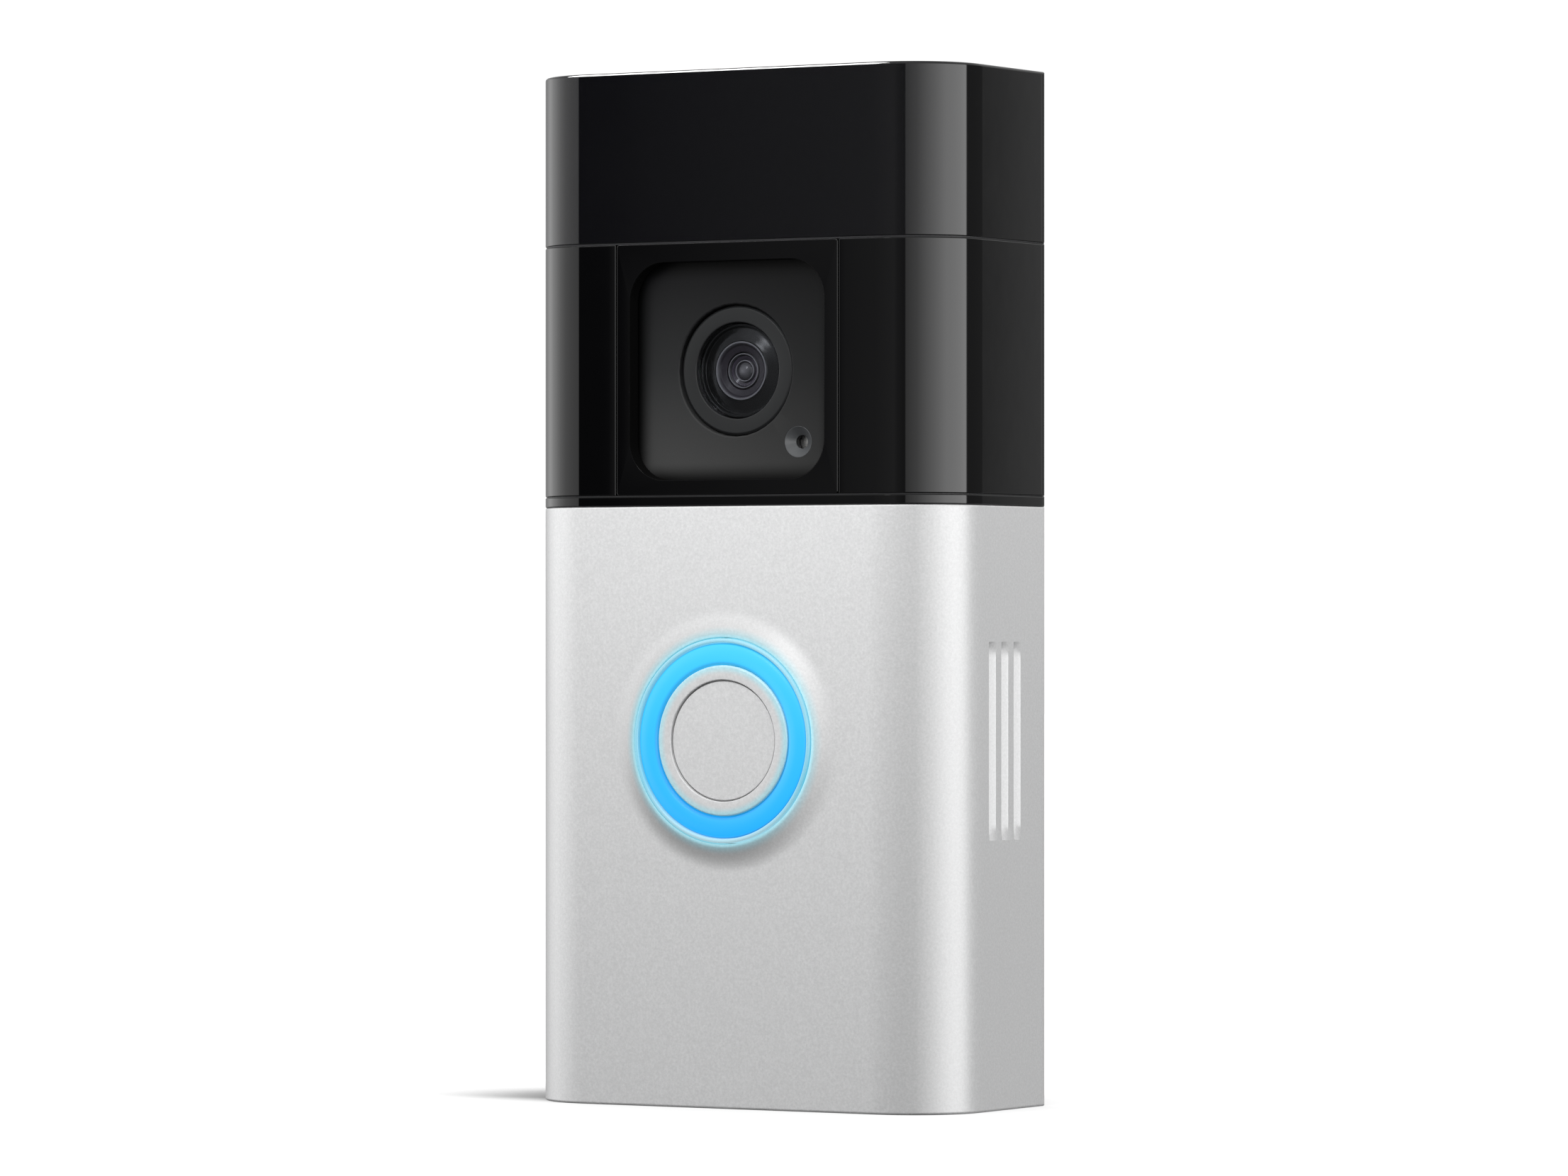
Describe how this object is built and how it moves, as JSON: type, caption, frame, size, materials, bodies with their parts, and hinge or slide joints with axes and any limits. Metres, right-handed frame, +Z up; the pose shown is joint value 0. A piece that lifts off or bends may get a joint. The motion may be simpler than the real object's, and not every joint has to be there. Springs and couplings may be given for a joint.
{
  "type": "video doorbell",
  "caption": "Slim upright video doorbell with a lit push button, a camera window, a removable two-tone faceplate and a slide-out battery pack.",
  "frame": {"origin": "middle of the bounding box's underside, where the doorbell stands on its lower edge", "axes": "+Z up along the body, +Y back towards the wall, -Y out of the camera and button, +X to the right as the visitor sees it"},
  "size_m": [0.0612, 0.0272, 0.128],
  "materials": {
    "silver": "satin metallic paint on moulded plastic, fine grain",
    "gloss_black": "high gloss black moulding",
    "matt_black": "fine spark-eroded texture",
    "window_black": "semi-matt dark grey",
    "lens_glass": "polished, coated",
    "sensor": "ceramic package",
    "circuit_board": "green solder mask",
    "steel": "bright zinc plate",
    "brass": "plain contact metal",
    "rubber": "matt",
    "white_plastic": "reflective white moulding",
    "grey_plastic": "fine texture",
    "orange_plastic": "smooth",
    "blue_light": "lit translucent light guide",
    "pale_rim": "clear light guide rim, edge lit",
    "cell_foil": "pouch foil"
  },
  "bodies": {
    "unit": {"front_cover": "matt_black", "rear_housing": "matt_black", "case_seal": "rubber", "case_screw_1": "steel", "case_screw_2": "steel", "case_screw_3": "steel", "case_screw_4": "steel", "camera_window": "window_black", "lens_ring": "window_black", "lens_glass": "lens_glass", "lens_barrel": "matt_black", "lens_element": "lens_glass", "lens_holder": "matt_black", "image_sensor": "sensor", "camera_board": "circuit_board", "ir_led_1": "lens_glass", "ir_led_2": "lens_glass", "ir_led_3": "lens_glass", "microphone": "steel", "motion_sensor_left": "steel", "motion_sensor_right": "steel", "main_board": "circuit_board", "wireless_module": "steel", "antenna": "brass", "speaker_driver": "grey_plastic", "button_housing": "white_plastic", "light_ring": "blue_light", "light_ring_rim": "pale_rim", "button_board": "circuit_board", "ring_led_1": "white_plastic", "ring_led_2": "white_plastic", "ring_led_3": "white_plastic", "ring_led_4": "white_plastic", "tactile_switch": "grey_plastic", "ribbon_cable": "orange_plastic", "button_seal": "rubber", "terminal_plate_left": "brass", "terminal_plate_right": "brass", "terminal_screw_left": "steel", "terminal_screw_right": "steel", "battery_bay": "matt_black", "battery_contacts": "brass"},
    "faceplate": {"faceplate_shell": "silver", "faceplate_trim": "gloss_black", "side_panel_left": "gloss_black", "side_panel_right": "gloss_black", "camera_tile": "gloss_black", "top_cover": "gloss_black", "faceplate_carrier": "matt_black"},
    "security_screw": {"security_screw": "steel"},
    "button": {"button_cap": "silver", "button_disc": "silver", "button_retainer": "steel", "switch_plunger": "grey_plastic"},
    "setup_button": {"setup_button": "orange_plastic"},
    "battery_pack": {"battery_case": "grey_plastic", "battery_cell": "cell_foil", "battery_lid": "grey_plastic", "charge_port": "steel"},
    "battery_latch": {"battery_latch": "grey_plastic"}
  },
  "joints": [
    {"name": "faceplate_lift", "type": "slide", "parent": "unit", "child": "faceplate", "axis": [0, -1, 0], "range_m": [0, 0.034]},
    {"name": "screw_withdraw", "type": "slide", "parent": "faceplate", "child": "security_screw", "axis": [0, 0, -1], "range_m": [0, 0.007]},
    {"name": "button_press", "type": "slide", "parent": "unit", "child": "button", "axis": [0, 1, 0], "range_m": [0, 0.0006], "stiffness_N_per_m": 2000, "springref_m": -0.001},
    {"name": "setup_press", "type": "slide", "parent": "unit", "child": "setup_button", "axis": [0, 1, 0], "range_m": [0, 0.0005], "stiffness_N_per_m": 1500, "springref_m": -0.001},
    {"name": "battery_withdraw", "type": "slide", "parent": "unit", "child": "battery_pack", "axis": [0, 0, -1], "range_m": [0, 0.066]},
    {"name": "latch_slide", "type": "slide", "parent": "unit", "child": "battery_latch", "axis": [0, 0, 1], "range_m": [0, 0.002], "stiffness_N_per_m": 400, "springref_m": -0.002}
  ]
}
